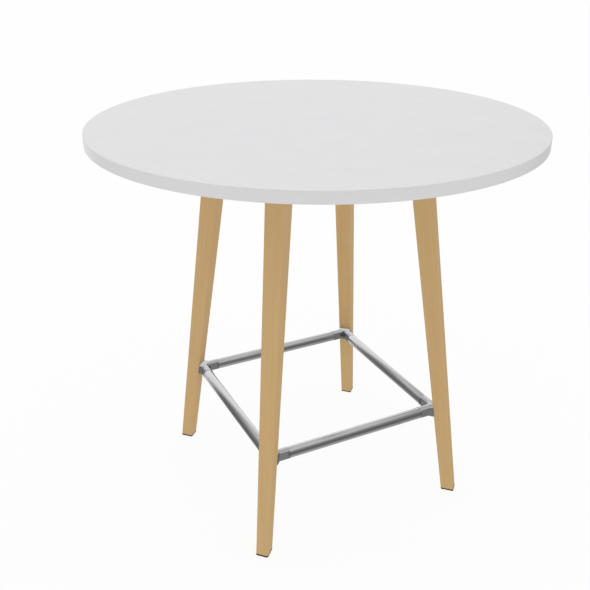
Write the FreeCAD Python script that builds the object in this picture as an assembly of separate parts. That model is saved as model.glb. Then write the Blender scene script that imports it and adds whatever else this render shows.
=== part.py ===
import FreeCAD, Part
import math
import os

# Standing meeting table, in millimetres.
# Origin on the floor under the middle of the top, +Z up. The footrest rails run along X and Y,
# and the four legs stand on the diagonals between them.

V = FreeCAD.Vector
UP = V(0, 0, 1)
OUT = V(1, 0, 0)
ORIGIN = V(0, 0, 0)

# ---------------------------------------------------------------- driving dimensions
# Top panel
overall_height = 1100.0
top_diameter = 1200.0
core_thickness = 28.0
laminate_thickness = 0.5
edge_band_thickness = 2.0
edge_band_chamfer = 1.0

# Legs: horizontal sections at the floor and under the top, centred on two circles
foot_circle_radius = 440.0
head_circle_radius = 278.5
leg_depth_at_foot = 38.0
leg_depth_at_head = 57.0
leg_width_at_foot = 35.0
leg_width_at_head = 55.5
leg_edge_round = 4.0

# Foot pads
pad_thickness = 3.0

# Leg plates: steel, between the top and the head of each leg
plate_thickness = 5.0
plate_length = 112.0
plate_width = 100.0
plate_corner_radius = 12.0

# Hanger bolts: threaded rods from each plate down into the end grain of its leg
hanger_bolt_diameter = 10.0
hanger_bolt_length = 70.0
hanger_bolt_outward_shift = 4.0

# Footrest: a square of four tubes, held by fittings seated on the legs' inner faces
footrest_height = 272.5
corner_to_leg = 4.85
rail_diameter = 32.0
rail_wall = 1.5
rail_joint_gap = 0.3

# Corner fittings
stub_diameter = 33.0
stub_length = 50.0
stub_flats = 23.0
collar_length = 2.0
spigot_length = 30.0
seat_width = 44.0
seat_height = 32.0
seat_root = 16.0
seat_edge_round = 5.0

# Corner bolts with socket heads, through the fittings into the legs
corner_bolt_diameter = 8.0
corner_bolt_length = 45.0
corner_bolt_head_diameter = 13.0
corner_bolt_head_height = 8.0
corner_bolt_head_seat = 12.0
corner_bolt_socket = 6.0
corner_bolt_socket_depth = 4.0
corner_bore_diameter = 14.0

# Clearances, on the radius where the piece is round
spigot_clearance = 0.2
bolt_clearance = 0.3
thread_clearance = 0.1
bore_end_clearance = 1.5

# ---------------------------------------------------------------- values that follow
top_thickness = core_thickness + 2 * laminate_thickness
underside_height = overall_height - top_thickness
plate_bottom = underside_height - plate_thickness
core_radius = top_diameter / 2 - edge_band_thickness
core_bottom = underside_height + laminate_thickness
core_top = core_bottom + core_thickness

stub_radius = stub_diameter / 2
spigot_radius = rail_diameter / 2 - rail_wall - spigot_clearance

# Places of the legs and of the rails, each a quarter turn on from the one before
LEG_PLACES = ["front_left", "front_right", "back_right", "back_left"]
RAIL_PLACES = ["front", "right", "back", "left"]
first_leg_angle = 225.0


# ---------------------------------------------------------------- helpers
def write(name, shape):
    """Write one node, a single solid or a group of separate solids."""
    shape.exportStep(os.path.join("parts", name + ".step"))


def turned(shape, angle):
    """Copy of a shape, turned about the table's upright axis."""
    copy = shape.copy()
    copy.rotate(ORIGIN, UP, angle)
    return copy


def four_turned(shape, first_angle):
    """Four copies of a shape round the table, a quarter turn apart."""
    return [turned(shape, first_angle + quarter * 90) for quarter in range(4)]


def rod(radius, length, start, direction):
    """Solid cylinder from a start point along a direction."""
    return Part.makeCylinder(radius, length, start, direction)


def hex_prism(across_flats, length, start, direction):
    """Hexagonal prism that stands on a start point and points along a direction."""
    corner = across_flats / math.sqrt(3)
    turns = [math.radians(60 * i) for i in range(7)]
    points = [V(corner * math.cos(t), corner * math.sin(t), 0) for t in turns]
    prism = Part.Face(Part.makePolygon(points)).extrude(UP * length)
    prism.Placement = FreeCAD.Placement(start, FreeCAD.Rotation(UP, direction))
    return prism


def rounded_rectangle(center_x, length, width, radius, height):
    """Closed wire of a rectangle with round corners, level at a height."""
    x = length / 2 - radius
    y = width / 2 - radius
    edges = []
    for sx, sy, angle in ((1, 1, 0), (-1, 1, 90), (-1, -1, 180), (1, -1, 270)):
        corner = V(center_x + sx * x, sy * y, height)
        edges.append(Part.makeCircle(radius, corner, UP, angle, angle + 90))
    corners = list(edges)
    for here, there in zip(corners, corners[1:] + corners[:1]):
        edges.append(Part.makeLine(here.Vertexes[-1].Point, there.Vertexes[0].Point))
    return Part.Wire(Part.__sortEdges__(edges))


# ---------------------------------------------------------------- leg geometry
def along_leg(at_foot, at_head, height):
    """Size or place that changes evenly from the floor to the underside of the top."""
    return at_foot + (at_head - at_foot) * height / underside_height


def leg_axis(height):
    """Distance of the leg's middle from the table's axis."""
    return along_leg(foot_circle_radius, head_circle_radius, height)


def leg_depth(height):
    """Size of the leg's level section, measured outwards."""
    return along_leg(leg_depth_at_foot, leg_depth_at_head, height)


def leg_width(height):
    """Size of the leg's level section, measured along its circle."""
    return along_leg(leg_width_at_foot, leg_width_at_head, height)


def inner_face(height):
    """Distance of the leg's inner face from the table's axis."""
    return leg_axis(height) - leg_depth(height) / 2


def inner_face_lean():
    """Angle in degrees between the leg's inner face and the upright."""
    return math.degrees(math.atan2(inner_face(0) - inner_face(underside_height), underside_height))


def on_inner_face(shape, height):
    """Move a shape built at the origin onto the inner face: its Z then runs up the face."""
    shape.rotate(ORIGIN, V(0, 1, 0), -inner_face_lean())
    shape.translate(V(inner_face(height), 0, height))
    return shape


# Every piece of a leg station is built with the leg on the +X side and then turned to its angle.
def leg_corners(height):
    """Four corners of the leg's level section before its edges are rounded."""
    inner = inner_face(height)
    outer = inner + leg_depth(height)
    half = leg_width(height) / 2
    return [V(inner, -half, height), V(outer, -half, height), V(outer, half, height), V(inner, half, height)]


def leg_form():
    """Leg and pad in one: the tapered, splayed form from the floor to the plate, edges rounded."""
    low = leg_corners(0)
    high = leg_corners(plate_bottom)
    outlines = [low[::-1], high]
    outlines += [[low[i - 1], low[i], high[i], high[i - 1]] for i in range(4)]
    faces = [Part.Face(Part.makePolygon(points + points[:1])) for points in outlines]
    form = Part.makeSolid(Part.makeShell(faces))
    upright = [edge for edge in form.Edges if edge.BoundBox.ZLength > plate_bottom / 2]
    return form.makeFillet(leg_edge_round, upright)


def below(height):
    """Block that fills the space under a leg station up to a height."""
    size = 2 * (foot_circle_radius + leg_depth_at_foot)
    return Part.makeBox(size, size, 2 * height, V(0, -size / 2, -height))


def hanger_rod(clearance, length):
    """Hanger bolt down from the top of the plate or, with a clearance, its hole."""
    top = V(leg_axis(plate_bottom) + hanger_bolt_outward_shift, 0, underside_height)
    return rod(hanger_bolt_diameter / 2 + clearance, length, top, -UP)


# ---------------------------------------------------------------- leg station
def leg():
    """Tapered, splayed leg, bored for the hanger bolt and the corner bolt."""
    hanger_bore = hanger_rod(thread_clearance, hanger_bolt_length + bore_end_clearance)
    corner_bore = rod(
        corner_bolt_diameter / 2 + thread_clearance, corner_bolt_length + bore_end_clearance,
        corner_bolt_seat(), OUT
    )
    return leg_form().cut([below(pad_thickness), hanger_bore, corner_bore])


def foot_pad():
    """Pad bonded under the foot, flush with the leg's sides."""
    return leg_form().common(below(pad_thickness))


def leg_plate():
    """Plate under the top, with a threaded hole for the hanger bolt."""
    outline = rounded_rectangle(
        leg_axis(underside_height), plate_length, plate_width, plate_corner_radius, plate_bottom
    )
    plate = Part.Face(outline).extrude(UP * plate_thickness)
    return plate.cut(hanger_rod(thread_clearance, plate_thickness))


# ---------------------------------------------------------------- footrest
def rail_direction(side):
    """Direction of a rail as it leaves a corner fitting, on the side given as 1 or -1."""
    return V(-1, side, 0).normalize()


def corner_center():
    """Point where the axes of two rails meet, inside the leg's inner face."""
    return V(inner_face(footrest_height) - corner_to_leg, 0, footrest_height)


def corner_bolt_seat():
    """Middle of the face under the corner bolt's head."""
    return corner_center() - OUT * corner_bolt_head_seat


def mitred_stub(side):
    """Half of the elbow: a round bar with two upright flats, cut where the two halves meet."""
    along = rail_direction(side)
    start = corner_center() - along * stub_radius
    bar = rod(stub_radius, stub_length + stub_radius, start, along)
    size = 2 * (stub_length + stub_diameter)
    half = Part.makeBox(size, size, size, V(-size / 2, 0 if side > 0 else -size, -size / 2))
    half.translate(corner_center())
    between_flats = Part.makeBox(size, stub_flats, size, V(-size / 2, -stub_flats / 2, -size / 2))
    between_flats.rotate(ORIGIN, UP, math.degrees(math.atan2(along.y, along.x)))
    between_flats.translate(corner_center())
    return bar.common(half).common(between_flats)


def collar(side):
    """Round shoulder that the end of a rail meets."""
    along = rail_direction(side)
    return rod(stub_radius, collar_length, corner_center() + along * (stub_length - collar_length), along)


def spigot(side):
    """Plug that the rail slides over."""
    along = rail_direction(side)
    start = corner_center() + along * (stub_length - collar_length / 2)
    return rod(spigot_radius, collar_length / 2 + spigot_length, start, along)


def seat_boss():
    """Boss with upright sides and rounded edges, from the elbow out past the leg's inner face."""
    outline = rounded_rectangle(0, seat_height, seat_width, seat_edge_round, 0)
    boss = Part.Face(outline).extrude(UP * (seat_root + stub_diameter))
    boss.rotate(ORIGIN, V(0, 1, 0), 90)
    boss.translate(corner_center() - OUT * seat_root)
    return boss


def beyond_inner_face():
    """Block that fills the space outside the plane of the leg's inner face."""
    size = 2 * (seat_width + stub_diameter)
    block = Part.makeBox(size, size, size, V(0, -size / 2, -size / 2))
    return on_inner_face(block, footrest_height)


def corner_fitting():
    """Mitred elbow with two spigots for the rails and a boss cut to the lean of the leg."""
    halves = [piece(side) for piece in (mitred_stub, collar, spigot) for side in (1, -1)]
    body = seat_boss().fuse(halves)
    seat = corner_bolt_seat()
    head_bore = rod(corner_bore_diameter / 2, stub_length, seat, -OUT)
    shank_bore = rod(corner_bolt_diameter / 2 + bolt_clearance, stub_length, seat, OUT)
    return body.removeSplitter().cut([beyond_inner_face(), head_bore, shank_bore])


def corner_bolt():
    """Socket-head bolt through the corner fitting into the leg."""
    seat = corner_bolt_seat()
    head = rod(corner_bolt_head_diameter / 2, corner_bolt_head_height, seat, -OUT)
    shank = rod(corner_bolt_diameter / 2, corner_bolt_length, seat, OUT)
    face = seat - OUT * corner_bolt_head_height
    socket = hex_prism(corner_bolt_socket, corner_bolt_socket_depth, face, OUT)
    return head.fuse(shank).removeSplitter().cut(socket)


def rail():
    """Straight tube between two corner fittings, built on the front side along X."""
    side = math.sqrt(2) * corner_center().x
    length = side - 2 * (stub_length + rail_joint_gap)
    start = V(-length / 2, -side / 2, footrest_height)
    tube = rod(rail_diameter / 2, length, start, OUT)
    return tube.cut(rod(rail_diameter / 2 - rail_wall, length, start, OUT))


# ---------------------------------------------------------------- top panel
def disc(thickness, bottom):
    """Round sheet that fits inside the edge band."""
    return rod(core_radius, thickness, V(0, 0, bottom), UP)


def edge_band():
    """Band round the rim, with its two outer edges broken."""
    outer = rod(top_diameter / 2, top_thickness, V(0, 0, underside_height), UP)
    rims = [edge for edge in outer.Edges if edge.Closed]
    outer = outer.makeChamfer(edge_band_chamfer, rims)
    return outer.cut(disc(top_thickness, underside_height))


# ---------------------------------------------------------------- assembly
def main():
    os.makedirs("parts", exist_ok=True)

    write("top_core", disc(core_thickness, core_bottom))
    write("top_laminate", disc(laminate_thickness, core_top))
    write("backing_laminate", disc(laminate_thickness, underside_height))
    write("edge_band", edge_band())

    station = {
        "leg": leg(),
        "foot_pad": foot_pad(),
        "leg_plate": leg_plate(),
        "corner_fitting": corner_fitting(),
    }
    for name, shape in station.items():
        for place, piece in zip(LEG_PLACES, four_turned(shape, first_leg_angle)):
            write(name + "_" + place, piece)
    for place, piece in zip(RAIL_PLACES, four_turned(rail(), 0)):
        write("footrest_rail_" + place, piece)

    hanger_bolt = hanger_rod(0, hanger_bolt_length)
    write("hanger_bolts", Part.makeCompound(four_turned(hanger_bolt, first_leg_angle)))
    write("corner_bolts", Part.makeCompound(four_turned(corner_bolt(), first_leg_angle)))


main()
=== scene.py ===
import logging
import math
from dataclasses import dataclass, field
from enum import Enum
from typing import Callable, Iterable, Sequence, Union

import bmesh
import bpy
from mathutils import Matrix, Vector


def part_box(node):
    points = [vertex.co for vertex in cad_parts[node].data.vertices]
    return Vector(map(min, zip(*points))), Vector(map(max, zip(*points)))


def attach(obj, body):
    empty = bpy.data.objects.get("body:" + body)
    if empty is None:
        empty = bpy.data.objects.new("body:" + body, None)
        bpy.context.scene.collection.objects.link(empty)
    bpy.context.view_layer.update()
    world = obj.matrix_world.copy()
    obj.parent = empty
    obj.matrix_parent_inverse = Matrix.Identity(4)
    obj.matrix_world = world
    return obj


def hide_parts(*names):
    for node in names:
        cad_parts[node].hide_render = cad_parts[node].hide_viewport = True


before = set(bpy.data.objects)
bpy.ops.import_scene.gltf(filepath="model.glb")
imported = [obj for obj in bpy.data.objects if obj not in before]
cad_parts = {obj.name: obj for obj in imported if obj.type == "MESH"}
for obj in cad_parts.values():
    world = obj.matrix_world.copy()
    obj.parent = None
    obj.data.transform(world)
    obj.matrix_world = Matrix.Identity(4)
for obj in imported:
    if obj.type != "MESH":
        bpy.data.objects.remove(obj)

log = logging.getLogger("standing_table")

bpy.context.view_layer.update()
BODY = "root"
MM = 0.001
QUARTER = math.pi / 2
UP = Vector((0, 0, 1))
LEG_PLACES = ("front_left", "front_right", "back_right", "back_left")
RAIL_PLACES = ("front", "right", "back", "left")
FIRST_LEG_ANGLE = math.radians(225)
LEG_RISE = 1071.0 * MM

# Points closer together than this are one point.
MERGE_DISTANCE = 0.002 * MM
# An edge this close to a rim's circle, or a cap this close to its middle, belongs to the rim.
RIM_REACH = 0.1 * MM
# An edge this close to a plane lies on it.
PLANE_REACH = 0.01 * MM
# Faces that turn less than this are parts of one flat face.
FLAT_WITHIN = math.radians(0.5)
# A face looks up when the upright part of its normal is larger than this.
LOOKS_UP = 0.99
# Corners of a face on the side of a cylinder, and sides of a drive recess.
QUAD = 4
HEXAGON = 6
# Shape of a bevel that is a part of a circle.
ROUND = 0.5

# How strong each finer layer of an irregular pattern is, against the layer before it.
SPECKLE_ROUGHNESS = 0.55
# The sRGB curve: a straight piece up to the knee, and a power above it.
SRGB_KNEE = 0.04045
SRGB_SLOPE = 12.92
SRGB_OFFSET = 0.055
SRGB_POWER = 2.4

Colour = tuple[float, float, float, float]
Triple = tuple[float, float, float]
Tree = bpy.types.NodeTree
Source = Union[bpy.types.Node, bpy.types.NodeSocket]


class Solver(Enum):
    """Ways in which one solid is combined with another."""

    JOIN = "UNION"
    CUT = "DIFFERENCE"


class Part(Enum):
    """Kinds of mesh element that a selection is made of."""

    EDGE = "EDGE"
    FACE = "FACE"


# ---------------------------------------------------------------- colour and shader nodes
def linear(hex_colour: str) -> Colour:
    """Turn an sRGB hex colour into the linear colour that a shader takes.

    Args:
        hex_colour: six hex digits after a hash sign.

    Returns:
        Red, green, blue and alpha, from 0 to 1.
    """
    channels = []
    for start in (1, 3, 5):
        value = int(hex_colour[start:start + 2], 16) / 255
        straight = value / SRGB_SLOPE
        curved = ((value + SRGB_OFFSET) / (1 + SRGB_OFFSET)) ** SRGB_POWER
        channels.append(straight if value <= SRGB_KNEE else curved)
    return (*channels, 1.0)


def add_node(
    tree: Tree, kind: str, settings: dict | None = None, **links: Source
) -> bpy.types.Node:
    """Add one node, set what is constant on it and link what is not.

    Args:
        tree: node tree of a material or of the world.
        kind: name of the node type.
        settings: values by the name of a property or of an input, or by an input's number. The
            name "stops" gives the places and colours of a colour ramp.
        links: outputs, or nodes whose first output in use is meant, by the name of the input,
            with underscores for spaces, or by in0, in1 and so on.

    Returns:
        The new node.
    """
    node = tree.nodes.new(kind)
    for name, value in (settings or {}).items():
        if name == "stops":
            stops = node.color_ramp.elements
            while len(stops) < len(value):
                stops.new(1.0)
            for stop, (position, colour) in zip(stops, value):
                stop.position, stop.color = position, colour
        elif isinstance(name, int) or name in node.inputs:
            node.inputs[name].default_value = value
        else:
            setattr(node, name, value)
    for name, source in links.items():
        key = int(name[2:]) if name[:2] == "in" and name[2:].isdigit() else name.replace("_", " ")
        if isinstance(source, bpy.types.Node):
            source = next(output for output in source.outputs if output.enabled)
        tree.links.new(source, node.inputs[key])
    return node


def new_material(name: str) -> tuple[bpy.types.Material, Tree]:
    """Make an empty node material.

    Args:
        name: name of the material.

    Returns:
        The material and its cleared node tree.
    """
    material = bpy.data.materials.new(name)
    material.use_nodes = True
    material.node_tree.nodes.clear()
    return material, material.node_tree


def placed(tree: Tree, turn: Matrix, shift: Triple) -> bpy.types.Node:
    """Object coordinates in metres, turned to a piece's own direction and shifted.

    Args:
        tree: node tree of the material.
        turn: rotation that brings the piece's long axis onto Z.
        shift: distance that the pattern is moved by, in metres.

    Returns:
        The node that gives the place.
    """
    where = add_node(tree, "ShaderNodeTexCoord").outputs["Object"]
    settings = {"Rotation": turn.to_euler("XYZ"), "Location": shift}
    return add_node(tree, "ShaderNodeMapping", settings, Vector=where)


def speckle(tree: Tree, place: Source, size_mm: Triple, detail: float) -> bpy.types.Node:
    """Irregular pattern whose spots have a real size along each axis.

    Args:
        tree: node tree of the material.
        place: place in metres.
        size_mm: size of a spot along X, Y and Z in millimetres.
        detail: number of finer layers.

    Returns:
        The node that gives a value around one half.
    """
    scale = {"operation": "MULTIPLY", 1: [1 / (size * MM) for size in size_mm]}
    spots = add_node(tree, "ShaderNodeVectorMath", scale, in0=place)
    settings = {"Scale": 1.0, "Detail": detail, "Roughness": SPECKLE_ROUGHNESS}
    return add_node(tree, "ShaderNodeTexNoise", settings, Vector=spots)


# ---------------------------------------------------------------- finishes
@dataclass(frozen=True)
class Finish:
    """Surface whose tone, sheen and fine relief follow irregular marks of a real size."""

    name: str
    light: str
    dark: str
    mark_mm: Triple
    mark_depth_mm: float
    smoothest: float
    roughest: float
    detail: float = 2.0
    dark_below: float = 0.3
    light_above: float = 0.7
    shader: dict[str, float] = field(default_factory=dict)
    turn: Matrix = Matrix.Identity(3)
    shift: Triple = (0.0, 0.0, 0.0)

    def tones(self, tree: Tree, place: Source, marks: Source) -> Source:
        """Colour over the surface, from the dark tone to the light one with the marks.

        Args:
            tree: node tree of the material.
            place: place in metres.
            marks: value of the marks.

        Returns:
            The node that gives the colour.
        """
        stops = ((self.dark_below, linear(self.dark)), (self.light_above, linear(self.light)))
        return add_node(tree, "ShaderNodeValToRGB", {"stops": stops}, Fac=marks)

    def build(self) -> bpy.types.Material:
        """Make the material.

        Returns:
            The material.
        """
        material, tree = new_material(self.name)
        place = placed(tree, self.turn, self.shift)
        marks = speckle(tree, place, self.mark_mm, self.detail)
        colour = self.tones(tree, place, marks)
        sheen = {"To Min": self.smoothest, "To Max": self.roughest}
        rough = add_node(tree, "ShaderNodeMapRange", sheen, Value=marks)
        depth = {"Strength": 1.0, "Distance": self.mark_depth_mm * MM}
        relief = add_node(tree, "ShaderNodeBump", depth, Height=marks)
        surface = add_node(
            tree, "ShaderNodeBsdfPrincipled", self.shader,
            Base_Color=colour, Roughness=rough, Normal=relief,
        )
        add_node(tree, "ShaderNodeOutputMaterial", Surface=surface)
        return material


@dataclass(frozen=True)
class PressedLaminate(Finish):
    """High-pressure laminate, pressed against a matt plate: an even white with a soft sheen."""

    light: str = "#e4e4e5"
    dark: str = "#e2e2e4"
    # The pressed pearl texture is finer on the real sheet; this is as fine as still shows.
    mark_mm: Triple = (1.6, 1.6, 1.6)
    mark_depth_mm: float = 0.01
    smoothest: float = 0.37
    roughest: float = 0.47
    detail: float = 1.0
    shader: dict[str, float] = field(default_factory=lambda: {"IOR": 1.5})
    cloud_mm: Triple = (70.0, 70.0, 70.0)
    cloud_detail: float = 2.0

    def tones(self, tree: Tree, place: Source, marks: Source) -> Source:
        """Colour over the sheet, which changes only in wide, faint clouds.

        Args:
            tree: node tree of the material.
            place: place in metres.
            marks: value of the pearl texture, which has no colour of its own.

        Returns:
            The node that gives the colour.
        """
        cloud = speckle(tree, place, self.cloud_mm, self.cloud_detail)
        return super().tones(tree, place, cloud)


@dataclass(frozen=True)
class ExtrudedBand(Finish):
    """ABS edge band, extruded and scraped flush: a soft white with fine lines round the rim."""

    light: str = "#e4e4e4"
    dark: str = "#dfdfdf"
    mark_mm: Triple = (60.0, 60.0, 0.8)
    mark_depth_mm: float = 0.006
    smoothest: float = 0.32
    roughest: float = 0.44
    shader: dict[str, float] = field(default_factory=lambda: {"IOR": 1.52})


@dataclass(frozen=True)
class RawChipboard(Finish):
    """Chipboard, pressed from flakes and glue: a coarse, dull mix of pale and brown chips."""

    light: str = "#c7a878"
    dark: str = "#8f6f49"
    mark_mm: Triple = (6.0, 3.0, 1.5)
    mark_depth_mm: float = 0.1
    smoothest: float = 0.9
    roughest: float = 0.9
    detail: float = 3.0
    dark_below: float = 0.35
    light_above: float = 0.65


@dataclass(frozen=True)
class LacqueredBeech(Finish):
    """Beech, planed and sanded under a clear satin lacquer: faint lengthwise streaks and flecks."""

    light: str = "#d5b37f"
    dark: str = "#c6a16c"
    middle: str = "#ceac77"
    fleck: str = "#b89361"
    # Fibres and flecks are drawn a little coarser than in real beech, so that they still show.
    mark_mm: Triple = (0.7, 0.7, 22.0)
    mark_depth_mm: float = 0.02
    smoothest: float = 0.48
    roughest: float = 0.62
    shader: dict[str, float] = field(
        default_factory=lambda: {"IOR": 1.45, "Specular IOR Level": 0.25}
    )
    fibre_range: tuple[float, float] = (0.25, 0.75)
    fibre_share: float = 0.22
    cloud_mm: Triple = (22.0, 22.0, 260.0)
    cloud_detail: float = 2.0
    streak_mm: Triple = (3.2, 3.2, 190.0)
    streak_detail: float = 3.0
    streak_range: tuple[float, float] = (0.32, 0.68)
    streak_share: float = 0.42
    fleck_mm: Triple = (0.9, 2.2, 6.0)
    fleck_detail: float = 0.0
    fleck_range: tuple[float, float] = (0.62, 0.74)
    fleck_share: float = 0.18

    def tones(self, tree: Tree, place: Source, marks: Source) -> Source:
        """Colour over the wood: wide clouds under streaks, fibres and small dark flecks.

        Args:
            tree: node tree of the material.
            place: place in metres, with the grain along Z.
            marks: value of the fibres.

        Returns:
            The node that gives the colour.
        """
        shades = (self.light, self.middle, self.dark, self.fleck)
        pale, middle, deep, fleck = (linear(shade) for shade in shades)
        cloud = speckle(tree, place, self.cloud_mm, self.cloud_detail)
        streaks = speckle(tree, place, self.streak_mm, self.streak_detail)
        flecks = speckle(tree, place, self.fleck_mm, self.fleck_detail)
        stops = ((self.dark_below, middle), (self.light_above, pale))
        colour = add_node(tree, "ShaderNodeValToRGB", {"stops": stops}, Fac=cloud)
        layers = (
            (streaks, (deep, pale), self.streak_range, self.streak_share, "MIX"),
            (marks, (deep, pale), self.fibre_range, self.fibre_share, "MIX"),
            (flecks, (pale, fleck), self.fleck_range, self.fleck_share, "DARKEN"),
        )
        for pattern, ends, places, share, blend in layers:
            stops = tuple(zip(places, ends))
            layer = add_node(tree, "ShaderNodeValToRGB", {"stops": stops}, Fac=pattern)
            how = {"data_type": "RGBA", "blend_type": blend, 0: share}
            colour = add_node(tree, "ShaderNodeMix", how, in6=colour, in7=layer)
        return colour


@dataclass(frozen=True)
class MouldedRubber(Finish):
    """Rubber, moulded: a dull near-black with a dusty variation."""

    light: str = "#2b2b2d"
    dark: str = "#161617"
    mark_mm: Triple = (5.0, 5.0, 5.0)
    mark_depth_mm: float = 0.05
    smoothest: float = 0.6
    roughest: float = 0.8
    detail: float = 3.0
    dark_below: float = 0.35
    light_above: float = 0.75
    shader: dict[str, float] = field(default_factory=lambda: {"IOR": 1.52})


@dataclass(frozen=True)
class PowderCoat(Finish):
    """Steel under a baked powder coat: a dark, even colour with an orange-peel surface."""

    light: str = "#3a3b3d"
    dark: str = "#303133"
    mark_mm: Triple = (1.2, 1.2, 1.2)
    mark_depth_mm: float = 0.03
    smoothest: float = 0.45
    roughest: float = 0.6
    shader: dict[str, float] = field(default_factory=lambda: {"IOR": 1.5})


@dataclass(frozen=True)
class WorkedSteel(Finish):
    """Bare or plated steel with the marks of how it was worked: grey metal, clean reflections."""

    shader: dict[str, float] = field(default_factory=lambda: {"Metallic": 1.0})


# ---------------------------------------------------------------- modelling by hand, in code
def deselect() -> None:
    """Leave edit mode and clear the selection."""
    if bpy.context.mode != "OBJECT":
        bpy.ops.object.mode_set(mode="OBJECT")
    bpy.ops.object.select_all(action="DESELECT")


def only(piece: bpy.types.Object) -> None:
    """Make one piece the active and only selected object.

    Args:
        piece: object to select.
    """
    deselect()
    piece.select_set(True)
    bpy.context.view_layer.objects.active = piece


def cylinder(
    name: str, radius: float, length: float, middle: Vector, along: Vector, sides: int
) -> bpy.types.Object:
    """Add a closed cylinder with its place in its mesh.

    Args:
        name: name of the object.
        radius: radius in metres.
        length: length in metres.
        middle: middle of its axis.
        along: direction of its axis.
        sides: number of sides.

    Returns:
        The object, which sits at the origin.
    """
    deselect()
    bpy.ops.mesh.primitive_cylinder_add(
        vertices=sides, radius=radius, depth=length, location=middle,
        rotation=along.to_track_quat("Z", "Y").to_euler(),
    )
    piece = bpy.context.object
    piece.name = piece.data.name = name
    bpy.ops.object.transform_apply(location=True, rotation=True, scale=True)
    return piece


def pick(piece: bpy.types.Object, part: Part, test: Callable[..., bool]) -> int:
    """Enter edit mode and select the edges or faces that pass a test.

    Args:
        piece: object to work on.
        part: kind of element.
        test: says whether an edge or a face is wanted.

    Returns:
        How many were selected.
    """
    only(piece)
    bpy.ops.object.mode_set(mode="EDIT")
    bpy.ops.mesh.select_mode(type=part.value)
    bpy.ops.mesh.select_all(action="DESELECT")
    shape = bmesh.from_edit_mesh(piece.data)
    elements = shape.edges if part is Part.EDGE else shape.faces
    wanted = [element for element in elements if test(element)]
    for element in wanted:
        element.select_set(True)
    bmesh.update_edit_mesh(piece.data)
    return len(wanted)


def is_cap(face: bmesh.types.BMFace) -> bool:
    """Whether a face is the many-cornered end of a cylinder."""
    return len(face.verts) > QUAD


def run_of(edge: bmesh.types.BMEdge) -> Vector:
    """Way from one end of an edge to the other."""
    return edge.verts[1].co - edge.verts[0].co


def middle_of(edge: bmesh.types.BMEdge) -> Vector:
    """Middle of an edge."""
    return (edge.verts[0].co + edge.verts[1].co) / 2


def off_axis(point: Vector, on: Vector, along: Vector) -> float:
    """Distance of a point from an axis through a point."""
    reach = point - on
    return (reach - along * reach.dot(along)).length


def round_rim(
    piece: bpy.types.Object, middle: Vector, along: Vector, radius: float, size: float,
    steps: int = 3,
) -> None:
    """Bevel the round edge at one end of a cylinder.

    Args:
        piece: object to work on.
        middle: middle of the rim's circle.
        along: direction of the axis.
        radius: radius of the rim.
        size: width of the bevel.
        steps: number of strips in the bevel.
    """
    def on_rim(edge: bmesh.types.BMEdge) -> bool:
        """Whether both ends of an edge lie on the rim.

        Args:
            edge: edge of the piece.

        Returns:
            True for the edges of the rim.
        """
        return all(
            abs((vert.co - middle).dot(along)) < RIM_REACH
            and abs(off_axis(vert.co, middle, along) - radius) < RIM_REACH
            for vert in edge.verts
        )

    if pick(piece, Part.EDGE, on_rim):
        bpy.ops.mesh.bevel(offset=size, segments=steps, profile=ROUND, affect="EDGES")
    deselect()


def tube(
    name: str, radius: float, wall: float, length: float, middle: Vector, along: Vector,
    sides: int, edge_round: float,
) -> bpy.types.Object:
    """Model an open tube: its caps are inset and opened, and the two inner loops bridged.

    Args:
        name: name of the object.
        radius: outer radius.
        wall: thickness of the wall.
        length: length along the axis.
        middle: middle of the axis.
        along: direction of the axis.
        sides: number of sides.
        edge_round: size of the bevel on the outer rims.

    Returns:
        The tube.
    """
    piece = cylinder(name, radius, length, middle, along, sides)
    pick(piece, Part.FACE, is_cap)
    bpy.ops.mesh.inset(thickness=wall)
    bpy.ops.mesh.delete(type="FACE")
    pick(piece, Part.EDGE, lambda edge: edge.is_boundary)
    bpy.ops.mesh.bridge_edge_loops()
    for side in (-1, 1):
        round_rim(piece, middle + along * (side * length / 2), along, radius, edge_round)
    return piece


def joined(pieces: Sequence[bpy.types.Object], name: str) -> bpy.types.Object:
    """Make one object of several.

    Args:
        pieces: objects to join.
        name: name of the result.

    Returns:
        The object that holds all the meshes.
    """
    deselect()
    for piece in pieces:
        piece.select_set(True)
    bpy.context.view_layer.objects.active = pieces[0]
    bpy.ops.object.join()
    group = bpy.context.object
    group.name = group.data.name = name
    return group


def combine(piece: bpy.types.Object, tool: bpy.types.Object, how: Solver) -> None:
    """Join a solid to a piece, or cut it away, and remove the tool.

    Args:
        piece: object that is kept.
        tool: object that is used up.
        how: join or cut.
    """
    only(piece)
    change = piece.modifiers.new("combine", "BOOLEAN")
    change.operation = how.value
    change.solver = "EXACT"
    change.object = tool
    bpy.ops.object.modifier_apply(modifier=change.name)
    bpy.data.objects.remove(tool)


def tidy_mesh(piece: bpy.types.Object, smooth_angle: float = 35.0) -> None:
    """Merge doubles, point the faces outwards and shade the round parts smooth.

    Args:
        piece: object to work on.
        smooth_angle: edges sharper than this, in degrees, stay crisp.
    """
    only(piece)
    bpy.ops.object.mode_set(mode="EDIT")
    bpy.ops.mesh.select_all(action="SELECT")
    bpy.ops.mesh.remove_doubles(threshold=MERGE_DISTANCE)
    bpy.ops.mesh.normals_make_consistent(inside=False)
    bpy.ops.object.mode_set(mode="OBJECT")
    bpy.ops.object.shade_smooth_by_angle(angle=math.radians(smooth_angle))
    deselect()


def weigh_normals(piece: bpy.types.Object) -> None:
    """Let the large faces keep their own shading where they run into round ones.

    Args:
        piece: object to work on.
    """
    only(piece)
    change = piece.modifiers.new("weigh", "WEIGHTED_NORMAL")
    change.keep_sharp = True
    bpy.ops.object.modifier_apply(modifier=change.name)
    deselect()


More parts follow.
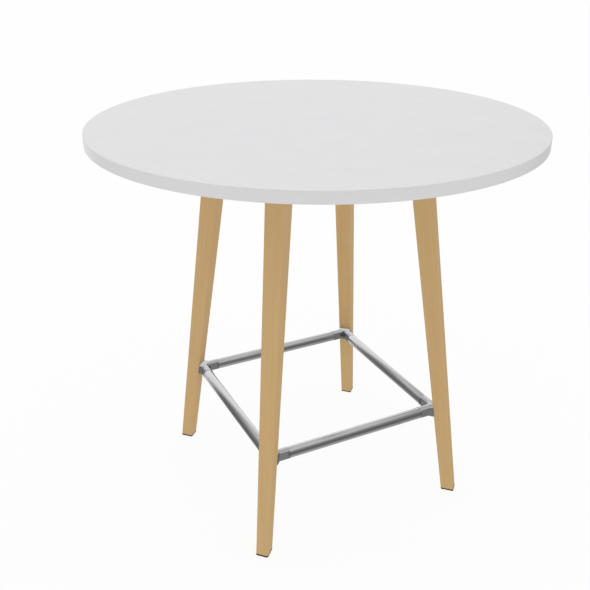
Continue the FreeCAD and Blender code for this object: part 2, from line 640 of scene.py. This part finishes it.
def turned_copy(piece: bpy.types.Object, name: str, angle: float) -> bpy.types.Object:
    """Copy a piece with its own mesh and turn it about the table's upright axis.

    Args:
        piece: object to copy.
        name: name of the copy.
        angle: turn in radians.

    Returns:
        The copy, which sits at the origin.
    """
    copy = piece.copy()
    copy.data = piece.data.copy()
    copy.name = copy.data.name = name
    copy.data.transform(Matrix.Rotation(angle, 4, "Z"))
    bpy.context.scene.collection.objects.link(copy)
    return copy


def copy_of_node(node: str, name: str) -> bpy.types.Object:
    """Copy a node with its own mesh, merge its loose triangles and give it flat, whole faces.

    Args:
        node: name of the node.
        name: name of the copy.

    Returns:
        The copy, bare of materials.
    """
    piece = turned_copy(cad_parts[node], name, 0)
    piece.data.materials.clear()
    only(piece)
    bpy.ops.object.mode_set(mode="EDIT")
    bpy.ops.mesh.select_all(action="SELECT")
    bpy.ops.mesh.remove_doubles(threshold=MERGE_DISTANCE)
    bpy.ops.mesh.dissolve_limited(angle_limit=FLAT_WITHIN)
    deselect()
    return piece


def dress(piece: bpy.types.Object, material: bpy.types.Material) -> None:
    """Give a piece one material all over.

    Args:
        piece: object to dress.
        material: its material.
    """
    if not piece.material_slots:
        piece.data.materials.append(material)
    for place in piece.material_slots:
        place.material = material


def mount(piece: bpy.types.Object, slot: str, *nodes: str) -> None:
    """Let a finished piece ride with the table and stand for the nodes it replaces.

    Args:
        piece: finished piece.
        slot: material slot that its finish belongs to; not used.
        nodes: names of the nodes that it stands for.
    """
    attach(piece, BODY)
    if nodes:
        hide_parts(*nodes)
    log.info("piece %s, %d faces, for %s", piece.name, len(piece.data.polygons), nodes or "itself")


def dress_nodes(names: Iterable[str], material: bpy.types.Material) -> None:
    """Give a finish to nodes whose shape is already right.

    Args:
        names: names of the nodes.
        material: their material.
    """
    for name in names:
        dress(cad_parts[name], material)
        log.info("node %s dressed in %s", name, material.name)


# ---------------------------------------------------------------- the top
@dataclass
class Tabletop:
    """Round board between two laminates, with an edge band whose outer edges are rounded."""

    band_thickness: float = 2 * MM
    band_round: float = 1.1 * MM
    band_sides: int = 360

    def build(self) -> None:
        """Model the edge band and dress the board and its laminates."""
        low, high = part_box("edge_band")
        middle = (low + high) / 2
        middle.x = middle.y = 0.0
        band = tube(
            "rim_band", high.x, self.band_thickness, high.z - low.z, middle, UP, self.band_sides,
            self.band_round,
        )
        tidy_mesh(band)
        dress(band, ExtrudedBand("white_abs_edge_band").build())
        mount(band, "white_edge_band", "edge_band")
        laminate = PressedLaminate("white_pressed_laminate").build()
        dress_nodes(["top_laminate", "backing_laminate"], laminate)
        dress_nodes(["top_core"], RawChipboard("raw_chipboard").build())


# ---------------------------------------------------------------- the legs
@dataclass
class Legs:
    """Four tapered, splayed legs with their feet, plates, hanger bolts and plate screws."""

    foot_circle: float = 440.0 * MM
    head_circle: float = 278.5 * MM
    plate_length: float = 112.0 * MM
    plate_width: float = 100.0 * MM
    plate_screw_places: tuple[tuple[int, int], ...] = ((-1, -1), (-1, 1), (1, -1), (1, 1))
    grain_step: Triple = (0.13, 0.29, 0.71)
    foot_rim_wall: float = 0.25 * MM
    foot_rim_height: float = 1.5 * MM
    screw_head_radius: float = 5.0 * MM
    screw_head_height: float = 2.6 * MM
    screw_head_round: float = 1.82 * MM
    screw_head_steps: int = 4
    screw_recess_radius: float = 1.9 * MM
    screw_recess_depth: float = 1.6 * MM
    screw_edge_distance: float = 13.0 * MM
    screw_sides: int = 32
    screw_smooth_angle: float = 40.0

    def build(self) -> None:
        """Dress the legs and their plates, mould the feet and add the screws."""
        lean = math.atan2(self.foot_circle - self.head_circle, LEG_RISE)
        for number, place in enumerate(LEG_PLACES):
            angle = FIRST_LEG_ANGLE + number * QUARTER
            turn = Matrix.Rotation(lean, 3, "Y") @ Matrix.Rotation(-angle, 3, "Z")
            shift = tuple(step * number for step in self.grain_step)
            beech = LacqueredBeech("lacquered_beech_" + place, turn=turn, shift=shift).build()
            dress_nodes(["leg_" + place], beech)
            # The matt wood is left out of the steel's reflections, which stay clean and grey.
            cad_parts["leg_" + place].visible_glossy = False
        self.build_feet()
        coat = PowderCoat("powder_coat").build()
        dress_nodes(["leg_plate_" + place for place in LEG_PLACES], coat)
        # Cold-headed steel, zinc plated: a pale, bluish grey with soft, spangled reflections.
        zinc = WorkedSteel(
            "zinc_plated_steel", light="#c9ccd1", dark="#b4b8be", mark_mm=(1.5, 1.5, 1.5),
            mark_depth_mm=0.01, smoothest=0.24, roughest=0.36,
        ).build()
        dress_nodes(["hanger_bolts"], zinc)
        self.add_plate_screws(zinc)

    def build_feet(self) -> None:
        """Mould a rubber foot under each leg: a flat pad whose rim wraps the end of the leg."""
        rubber = MouldedRubber("moulded_rubber").build()
        for place in LEG_PLACES:
            foot = copy_of_node("foot_pad_" + place, "rubber_foot_" + place)
            low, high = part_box("foot_pad_" + place)
            middle = (low + high) / 2
            wider = 1 + 2 * self.foot_rim_wall / (high.x - low.x)
            grown = Matrix.Diagonal((wider, wider, 1.0)).to_4x4()
            foot.data.transform(
                Matrix.Translation(middle) @ grown @ Matrix.Translation(-middle)
            )
            pick(foot, Part.FACE, lambda face: face.normal.z > LOOKS_UP)
            bpy.ops.mesh.extrude_region_move(
                TRANSFORM_OT_translate={"value": UP * self.foot_rim_height}
            )
            bpy.ops.mesh.inset(thickness=self.foot_rim_wall)
            bpy.ops.transform.translate(value=-UP * self.foot_rim_height)
            tidy_mesh(foot)
            dress(foot, rubber)
            mount(foot, "black_pad", "foot_pad_" + place)

    def screw(self) -> bpy.types.Object:
        """Model one pan-head screw at the origin, with its head hanging down and a drive recess.

        Returns:
            The screw's head.
        """
        down = -UP
        face = down * self.screw_head_height
        head = cylinder(
            "screw_head", self.screw_head_radius, self.screw_head_height, face / 2, down,
            self.screw_sides,
        )
        round_rim(
            head, face, down, self.screw_head_radius, self.screw_head_round, self.screw_head_steps
        )
        depth = 2 * self.screw_recess_depth
        recess = cylinder("recess", self.screw_recess_radius, depth, face, down, HEXAGON)
        combine(head, recess, Solver.CUT)
        return head

    def add_plate_screws(self, material: bpy.types.Material) -> None:
        """Set four screws under each plate, near its corners.

        Args:
            material: finish of the screws.
        """
        model = self.screw()
        low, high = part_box("leg_plate_front_left")
        middle = Vector(((low.x + high.x) / 2, (low.y + high.y) / 2, low.z))
        out = self.plate_length / 2 - self.screw_edge_distance
        side = self.plate_width / 2 - self.screw_edge_distance
        heads = [turned_copy(model, "head", 0) for _ in self.plate_screw_places]
        for head, (sx, sy) in zip(heads, self.plate_screw_places):
            head.data.transform(Matrix.Translation((sx * out, sy * side, 0)))
        group = joined(heads, "plate_screws")
        group.data.transform(Matrix.Translation(middle) @ Matrix.Rotation(FIRST_LEG_ANGLE, 4, "Z"))
        tidy_mesh(group, self.screw_smooth_angle)
        dress(group, material)
        for number, place in enumerate(LEG_PLACES):
            screws = turned_copy(group, "plate_screws_" + place, number * QUARTER)
            mount(screws, "zinc_plated_steel")
        for spare in (model, group):
            bpy.data.objects.remove(spare)


# ---------------------------------------------------------------- the footrest
@dataclass
class Footrest:
    """Square of four polished tubes on four cast corner fittings, bolted to the legs."""

    rail_wall: float = 1.5 * MM
    rail_round: float = 0.35 * MM
    rail_sides: int = 96
    stub_radius: float = 16.5 * MM
    stub_length: float = 50.0 * MM
    stub_round: float = 0.5 * MM
    spigot_radius: float = 14.3 * MM
    spigot_length: float = 30.0 * MM
    spigot_chamfer: float = 1.5 * MM
    stub_flats: float = 23.0 * MM
    flat_edge_round: float = 0.9 * MM
    flat_edge_steps: int = 3
    collar_length: float = 2.0 * MM
    seat_width: float = 44.0 * MM
    seat_height: float = 32.0 * MM
    seat_root: float = 16.0 * MM
    seat_edge_round: float = 5.0 * MM
    seat_edge_steps: int = 8
    corner_to_leg: float = 4.85 * MM
    inner_face_at_foot: float = 421.0 * MM
    inner_face_at_head: float = 250.0 * MM
    bore_radius: float = 7.0 * MM
    shank_hole_radius: float = 4.3 * MM
    head_seat: float = 12.0 * MM
    head_radius: float = 6.5 * MM
    head_height: float = 8.0 * MM
    head_round: float = 0.7 * MM
    shank_radius: float = 4.0 * MM
    shank_length: float = 45.0 * MM
    shank_overlap: float = 1.0 * MM
    socket_across_flats: float = 6.0 * MM
    socket_depth: float = 4.0 * MM
    fitting_sides: int = 96
    fitting_smooth_angle: float = 25.0
    bolt_sides: int = 48

    def __post_init__(self) -> None:
        """Work out where the axes of two rails meet, with the leg on the +X side."""
        low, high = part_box("footrest_rail_front")
        self.half_side = -(low.y + high.y) / 2
        self.height = (low.z + high.z) / 2
        self.corner = Vector((self.half_side * math.sqrt(2), 0, self.height))
        self.out = Vector((1, 0, 0))
        self.bolt_seat = self.corner - self.out * self.head_seat

    def build(self) -> None:
        """Model the rails, the fittings and their bolts."""
        self.build_rails()
        self.build_fittings()
        self.build_bolts()

    def build_rails(self) -> None:
        """Model one tube and set a copy on each side, with its polishing lines lengthwise."""
        low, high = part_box("footrest_rail_front")
        model = tube(
            "rail_model", (high.z - low.z) / 2, self.rail_wall, high.x - low.x, (low + high) / 2,
            Vector((1, 0, 0)), self.rail_sides, self.rail_round,
        )
        tidy_mesh(model)
        for number, place in enumerate(RAIL_PLACES):
            rail = turned_copy(model, "polished_rail_" + place, number * QUARTER)
            turn = Matrix.Rotation(-QUARTER, 3, "Y") @ Matrix.Rotation(-number * QUARTER, 3, "Z")
            # Drawn stainless tube, polished along its length: bright, crisp, lengthwise bands.
            steel = WorkedSteel(
                "polished_drawn_steel_" + place, light="#d9d9da", dark="#d2d2d3",
                mark_mm=(0.9, 0.9, 140.0), mark_depth_mm=0.001, smoothest=0.128, roughest=0.192,
                turn=turn,
            ).build()
            dress(rail, steel)
            mount(rail, "polished_steel", "footrest_rail_" + place)
        bpy.data.objects.remove(model)

    def rail_direction(self, side: int) -> Vector:
        """Direction of a rail as it leaves the fitting, on the side given as 1 or -1."""
        return Vector((-1, side, 0)).normalized()

    def arm(self, side: int) -> bpy.types.Object:
        """Model half of the elbow: a round bar with two flats, cut on the mitre plane.

        Args:
            side: 1 or -1.

        Returns:
            The half, open on the mitre plane.
        """
        along = self.rail_direction(side)
        across = along.cross(UP)
        behind = 2 * self.stub_radius
        length = self.stub_length - self.collar_length / 2 + behind
        middle = self.corner + along * (length / 2 - behind)
        piece = cylinder("arm", self.stub_radius, length, middle, along, self.fitting_sides)
        for way in (across, -across):
            pick(piece, Part.FACE, lambda face: True)
            bpy.ops.mesh.bisect(
                plane_co=self.corner + way * (self.stub_flats / 2), plane_no=way,
                clear_outer=True, use_fill=True,
            )
        pick(piece, Part.EDGE, lambda edge: self.bounds_flat(edge, along, across))
        bpy.ops.mesh.bevel(
            offset=self.flat_edge_round, segments=self.flat_edge_steps, profile=ROUND,
            affect="EDGES",
        )
        pick(piece, Part.FACE, lambda face: True)
        bpy.ops.mesh.bisect(
            plane_co=self.corner, plane_no=(0, side, 0), clear_inner=True, use_fill=False
        )
        deselect()
        return piece

    def bounds_flat(self, edge: bmesh.types.BMEdge, along: Vector, across: Vector) -> bool:
        """Whether an edge is one of the four long ones where a flat meets the round of the bar.

        Args:
            edge: edge of the bar.
            along: direction of the bar.
            across: level direction square to the bar.

        Returns:
            True for the long edges of a flat.
        """
        side = abs((middle_of(edge) - self.corner).dot(across))
        is_long = abs(run_of(edge).dot(along)) > self.stub_length
        return is_long and abs(side - self.stub_flats / 2) < PLANE_REACH

    def shoulder(self, side: int) -> bpy.types.Object:
        """Model the round collar that a rail meets, with the spigot drawn out of its face.

        Args:
            side: 1 or -1.

        Returns:
            The collar and its spigot, closed.
        """
        along = self.rail_direction(side)
        end = self.corner + along * self.stub_length
        middle = end - along * (self.collar_length / 2)
        piece = cylinder(
            "shoulder", self.stub_radius, self.collar_length, middle, along, self.fitting_sides
        )
        pick(
            piece, Part.FACE,
            lambda face: is_cap(face) and (face.calc_center_median() - end).length < RIM_REACH,
        )
        bpy.ops.mesh.inset(thickness=self.stub_radius - self.spigot_radius)
        bpy.ops.mesh.extrude_region_move(
            TRANSFORM_OT_translate={"value": along * self.spigot_length}
        )
        round_rim(piece, end, along, self.stub_radius, self.stub_round)
        tip = end + along * self.spigot_length
        round_rim(piece, tip, along, self.spigot_radius, self.spigot_chamfer, steps=1)
        return piece

    def boss(self) -> bpy.types.Object:
        """Model the boss: a block with its long edges rounded, cut to the lean of the leg.

        Returns:
            The boss, closed.
        """
        length = self.seat_root + 2 * self.stub_radius
        deselect()
        bpy.ops.mesh.primitive_cube_add(
            size=1, location=self.corner + self.out * (length / 2 - self.seat_root)
        )
        piece = bpy.context.object
        piece.name = "boss"
        piece.scale = (length, self.seat_width, self.seat_height)
        bpy.ops.object.transform_apply(location=True, rotation=True, scale=True)
        pick(piece, Part.EDGE, lambda edge: abs(run_of(edge).dot(self.out)) > length / 2)
        bpy.ops.mesh.bevel(
            offset=self.seat_edge_round, segments=self.seat_edge_steps, profile=ROUND,
            affect="EDGES",
        )
        pick(piece, Part.FACE, lambda face: True)
        seat = self.corner + self.out * self.corner_to_leg
        lean = math.atan2(self.inner_face_at_foot - self.inner_face_at_head, LEG_RISE)
        normal = Vector((math.cos(lean), 0, math.sin(lean)))
        bpy.ops.mesh.bisect(plane_co=seat, plane_no=normal, clear_outer=True, use_fill=True)
        deselect()
        return piece

    def build_fittings(self) -> None:
        """Model one mitred corner fitting and set a copy at each leg."""
        model = joined([self.arm(side) for side in (1, -1)], "fitting_model")
        tidy_mesh(model)
        for added in (self.shoulder(1), self.shoulder(-1), self.boss()):
            combine(model, added, Solver.JOIN)
        inside = self.bolt_seat - self.out * (self.stub_length / 2)
        bores = (
            (self.bore_radius, self.stub_length, inside),
            (self.shank_hole_radius, 2 * self.stub_length, self.bolt_seat),
        )
        for radius, length, middle in bores:
            bore = cylinder("bore", radius, length, middle, self.out, self.bolt_sides)
            combine(model, bore, Solver.CUT)
        tidy_mesh(model, self.fitting_smooth_angle)
        weigh_normals(model)
        # Cast stainless steel, ground and polished: a shade greyer and softer than the tubes.
        steel = WorkedSteel(
            "polished_cast_steel", light="#cfcfd0", dark="#c4c4c6", mark_mm=(2.5, 2.5, 2.5),
            mark_depth_mm=0.002, smoothest=0.16, roughest=0.24,
        ).build()
        dress(model, steel)
        for number, place in enumerate(LEG_PLACES):
            angle = FIRST_LEG_ANGLE + number * QUARTER
            fitting = turned_copy(model, "cast_fitting_" + place, angle)
            mount(fitting, "satin_steel", "corner_fitting_" + place)
        bpy.data.objects.remove(model)

    def build_bolts(self) -> None:
        """Model one socket-head bolt and set a copy in each fitting."""
        seat = self.bolt_seat
        face = seat - self.out * self.head_height
        bolt = cylinder(
            "bolt", self.head_radius, self.head_height, (seat + face) / 2, self.out,
            self.bolt_sides,
        )
        round_rim(bolt, face, self.out, self.head_radius, self.head_round)
        shank = cylinder(
            "shank", self.shank_radius, self.shank_length + self.shank_overlap,
            seat + self.out * ((self.shank_length - self.shank_overlap) / 2), self.out,
            self.bolt_sides,
        )
        combine(bolt, shank, Solver.JOIN)
        socket = cylinder(
            "socket", self.socket_across_flats / math.sqrt(3), 2 * self.socket_depth, face,
            self.out, HEXAGON,
        )
        combine(bolt, socket, Solver.CUT)
        tidy_mesh(bolt)
        copies = [
            turned_copy(bolt, "bolt", FIRST_LEG_ANGLE + number * QUARTER)
            for number in range(len(LEG_PLACES))
        ]
        group = joined(copies, "socket_bolts")
        # Forged and turned steel: a mid grey with blurred reflections, darker than its fitting.
        steel = WorkedSteel(
            "turned_bolt_steel", light="#9fa1a4", dark="#8b8d91", mark_mm=(1.0, 1.0, 1.0),
            mark_depth_mm=0.005, smoothest=0.24, roughest=0.36,
        ).build()
        dress(group, steel)
        mount(group, "satin_bolt_steel", "corner_bolts")
        bpy.data.objects.remove(bolt)


# ---------------------------------------------------------------- the studio
@dataclass
class Studio:
    """Pale floor, even light from all round, one soft high lamp, a light tent and the camera."""

    camera_place: Triple = (-0.960, -1.810, 1.567)
    camera_forward: Triple = (0.4012, 0.8082, -0.4310)
    lens_mm: float = 47.29
    sensor_mm: float = 36.0
    floor_size: float = 120.0
    floor_colour: str = "#fafafa"
    # Shares of plain white in the floor, as it is seen and as it lights the table.
    floor_evenness: float = 0.9
    floor_fill: float = 0.7
    sky_strength: float = 0.70
    sun_from: Triple = (0.0, 0.35, 1.0)
    sun_width: float = math.radians(140)
    sun_strength: float = 0.81
    tent_radius: float = 9.0
    tent_segments: int = 48
    tent_rings: int = 24
    # Directions of the white openings, and the shares at which each starts and is full.
    tent_openings: tuple[tuple[Triple, float, float], ...] = (
        ((0.258, 0.962, 0.087), 0.81, 0.90), ((0.695, 0.719, 0.0), 0.93, 0.98),
    )
    # Heights from straight down at 0 to straight up at 1, and the grey at each.
    tent_levels: tuple[tuple[float, float], ...] = (
        (0.0, 0.50), (0.05, 0.50), (0.135, 0.43), (0.205, 0.32), (0.30, 0.21), (0.45, 0.155),
        (0.60, 0.17), (0.70, 0.25), (0.75, 0.31), (0.80, 0.36), (0.85, 0.46), (0.89, 0.60),
        (0.93, 0.70), (0.97, 1.0),
    )

    def build(self) -> None:
        """Set up the floor, the light and the camera."""
        self.build_floor()
        self.build_world()
        self.build_sun()
        self.build_tent()
        self.build_camera()

    def seen_directly(self, tree: Tree) -> Source:
        """Value of 1 for camera, mirror and glass rays, and 0 for the rest.

        Args:
            tree: node tree of the floor or of the world.

        Returns:
            The output that gives the value.
        """
        path = add_node(tree, "ShaderNodeLightPath")
        value = path.outputs["Is Camera Ray"]
        for name in ("Is Glossy Ray", "Is Transmission Ray"):
            value = add_node(
                tree, "ShaderNodeMath", {"operation": "MAXIMUM"}, in0=value, in1=path.outputs[name]
            )
        return value

    def build_floor(self) -> None:
        """Lay a pale, evenly lit floor that still takes a faint shadow of the table.

        Seen from below it is clear, so that the table's underside can be looked at.
        """
        deselect()
        bpy.ops.mesh.primitive_plane_add(size=self.floor_size)
        floor = bpy.context.object
        floor.name = "studio_floor"
        material, tree = new_material("pale_floor")
        matt = add_node(tree, "ShaderNodeBsdfDiffuse", {"Color": linear(self.floor_colour)})
        even = add_node(tree, "ShaderNodeEmission", {"Strength": 1.0})
        shares = {"To Min": self.floor_fill, "To Max": self.floor_evenness}
        share = add_node(tree, "ShaderNodeMapRange", shares, Value=self.seen_directly(tree))
        above = add_node(tree, "ShaderNodeMixShader", Fac=share, in1=matt, in2=even)
        back = add_node(tree, "ShaderNodeNewGeometry").outputs["Backfacing"]
        clear = add_node(tree, "ShaderNodeBsdfTransparent")
        whole = add_node(tree, "ShaderNodeMixShader", Fac=back, in1=above, in2=clear)
        add_node(tree, "ShaderNodeOutputMaterial", Surface=whole)
        floor.data.materials.append(material)
        floor.visible_glossy = False

    def build_world(self) -> None:
        """Surround the table with even light, white where it is seen directly."""
        world = bpy.data.worlds.new("soft_surround")
        bpy.context.scene.world = world
        world.use_nodes = True
        tree = world.node_tree
        tree.nodes.clear()
        lit, seen = (
            add_node(
                tree, "ShaderNodeBackground", {"Color": linear("#ffffff"), "Strength": strength}
            )
            for strength in (self.sky_strength, 1.0)
        )
        direct = self.seen_directly(tree)
        both = add_node(tree, "ShaderNodeMixShader", Fac=direct, in1=lit, in2=seen)
        add_node(tree, "ShaderNodeOutputWorld", Surface=both)

    def build_sun(self) -> None:
        """Light the table from high up with one very wide, distant lamp."""
        data = bpy.data.lights.new("wide_lamp", "SUN")
        data.energy = self.sun_strength
        data.angle = self.sun_width
        lamp = bpy.data.objects.new("wide_lamp", data)
        lamp.rotation_euler = (-Vector(self.sun_from)).to_track_quat("-Z", "Y").to_euler()
        bpy.context.scene.collection.objects.link(lamp)

    def build_tent(self) -> None:
        """Hang a light tent that only polished surfaces show.

        The tent is white overhead and at its openings, with a dark belt round the rest, so that
        the steel has the bright and dark bands that it has in a real room.
        """
        deselect()
        bpy.ops.mesh.primitive_uv_sphere_add(
            segments=self.tent_segments, ring_count=self.tent_rings, radius=self.tent_radius
        )
        tent = bpy.context.object
        tent.name = "light_tent"
        material, tree = new_material("white_tent_with_dark_belt")
        where = add_node(tree, "ShaderNodeTexCoord").outputs["Object"]
        way = add_node(tree, "ShaderNodeVectorMath", {"operation": "NORMALIZE"}, in0=where)
        levels = [(height, (level, level, level, 1)) for height, level in self.tent_levels]
        height = self.along(tree, way, UP)
        both = add_node(tree, "ShaderNodeValToRGB", {"stops": levels}, Fac=height)
        lighter = {"data_type": "RGBA", "blend_type": "LIGHTEN", 0: 1.0}
        for axis, start, full in self.tent_openings:
            edge = {"stops": ((start, (0, 0, 0, 1)), (full, (1, 1, 1, 1)))}
            toward = self.along(tree, way, axis)
            opening = add_node(tree, "ShaderNodeValToRGB", edge, Fac=toward)
            both = add_node(tree, "ShaderNodeMix", lighter, in6=both, in7=opening)
        glow = add_node(tree, "ShaderNodeEmission", {"Strength": 1.0}, Color=both)
        add_node(tree, "ShaderNodeOutputMaterial", Surface=glow)
        tent.data.materials.append(material)
        tent.visible_camera = tent.visible_diffuse = tent.visible_shadow = False

    def along(self, tree: Tree, way: Source, axis: Sequence[float]) -> bpy.types.Node:
        """How far a direction points along an axis, from 0 for against it to 1 for along it.

        Args:
            tree: node tree of the tent.
            way: the direction.
            axis: direction of the axis.

        Returns:
            The node that gives the value.
        """
        dot = add_node(tree, "ShaderNodeVectorMath", {"operation": "DOT_PRODUCT", 1: axis}, in0=way)
        span = {"From Min": -1.0, "From Max": 1.0}
        return add_node(tree, "ShaderNodeMapRange", span, Value=dot.outputs["Value"])

    def build_camera(self) -> None:
        """Set the camera."""
        data = bpy.data.cameras.new("camera")
        data.lens = self.lens_mm
        data.sensor_width = self.sensor_mm
        camera = bpy.data.objects.new("camera", data)
        camera.location = self.camera_place
        camera.rotation_euler = Vector(self.camera_forward).to_track_quat("-Z", "Y").to_euler()
        bpy.context.scene.collection.objects.link(camera)
        bpy.context.scene.camera = camera


def main() -> None:
    """Build the table and the studio in order."""
    logging.basicConfig(level=logging.INFO, format="%(name)s: %(message)s")
    Tabletop().build()
    Legs().build()
    Footrest().build()
    Studio().build()
    bpy.context.scene.view_settings.view_transform = "Standard"


if __name__ == "__main__":
    main()
